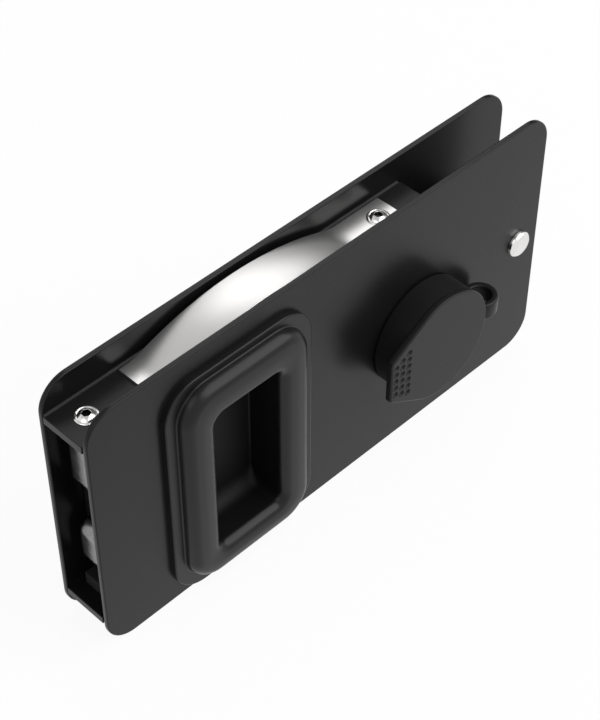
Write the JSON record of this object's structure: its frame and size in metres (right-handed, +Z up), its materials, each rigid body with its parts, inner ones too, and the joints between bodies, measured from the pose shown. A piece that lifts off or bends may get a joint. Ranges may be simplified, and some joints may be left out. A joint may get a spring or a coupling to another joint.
{
  "type": "flush door latch",
  "caption": "Flush door latch that straddles a leaf: face plates, finger pulls, thumb turns with cord eyes, a hooking bolt, a channel case and a bowed leaf spring.",
  "frame": {"origin": "at the leading edge, midway between the face plates, at the height of the clamp bolt", "axes": "+X from the leading edge into the leaf, -Y out of the front face, +Z up"},
  "size_m": [0.15, 0.0352, 0.076],
  "materials": {
    "black_plate": "matt black powder coat on steel sheet",
    "black_case": "matt black coat on steel",
    "black_pull": "satin black coat on a casting",
    "black_turn": "satin black coat on a casting",
    "spring_strip": "satin spring steel",
    "bright_steel": "bright plated steel",
    "black_screw": "blackened steel",
    "zinc_casting": "dull grey zinc casting",
    "ground_steel": "ground steel pin",
    "pressed_steel": "plated steel sheet",
    "spring_wire": "drawn spring wire",
    "bearing_plastic": "moulded acetal",
    "stop_rubber": "soft black rubber"
  },
  "bodies": {
    "latch_case": {"front_plate": "black_plate", "rear_plate": "black_plate", "case": "black_case", "leaf_spring": "spring_strip", "case_screws": "bright_steel", "guide_block": "zinc_casting", "front_cheek": "black_case", "rear_cheek": "black_case", "hook_pin": "ground_steel", "hook_spring": "spring_wire", "hook_stop_pad": "stop_rubber", "guide_pins": "ground_steel", "guide_spacers": "bearing_plastic", "front_bush": "bearing_plastic", "rear_bush": "bearing_plastic", "return_spring": "spring_wire", "front_pull": "black_pull", "rear_pull": "black_pull", "clamp_nut": "bright_steel", "clamp_screw": "bright_steel", "clamp_spacer": "bearing_plastic", "rear_plate_screws": "black_screw"},
    "turn": {"front_drum": "black_turn", "rear_drum": "black_turn", "front_turn_plate": "black_turn", "rear_turn_plate": "black_turn", "spindle": "ground_steel", "drive_cam": "pressed_steel", "crank_pin": "ground_steel", "cam_cross_pin": "ground_steel", "drum_screws": "black_screw"},
    "bar": {"transfer_bar": "pressed_steel"},
    "hook_lever": {"hook": "zinc_casting", "hook_drive_pin": "ground_steel"}
  },
  "joints": [
    {"name": "turn_press", "type": "hinge", "parent": "latch_case", "child": "turn", "pos_m": [0.1038, 0, -0.0043], "axis": [0, -1, 0], "range_deg": [0, 35], "stiffness_Nm_per_rad": 0.2, "springref_deg": -17.19, "deforming": ["return_spring"]},
    {"name": "bar_slide", "type": "slide", "parent": "latch_case", "child": "bar", "axis": [-1, 0, 0], "range_m": [0, 0.00465]},
    {"name": "hook_tilt", "type": "hinge", "parent": "latch_case", "child": "hook_lever", "pos_m": [0.024, 0, -0.0195], "axis": [0, -1, 0], "range_deg": [0, 18.5], "deforming": ["hook_spring"]}
  ],
  "couplings": [
    {"joint": "bar_slide", "follows": "turn_press", "m_per_rad": 0.0076},
    {"joint": "hook_tilt", "follows": "turn_press", "ratio": 0.5275}
  ]
}
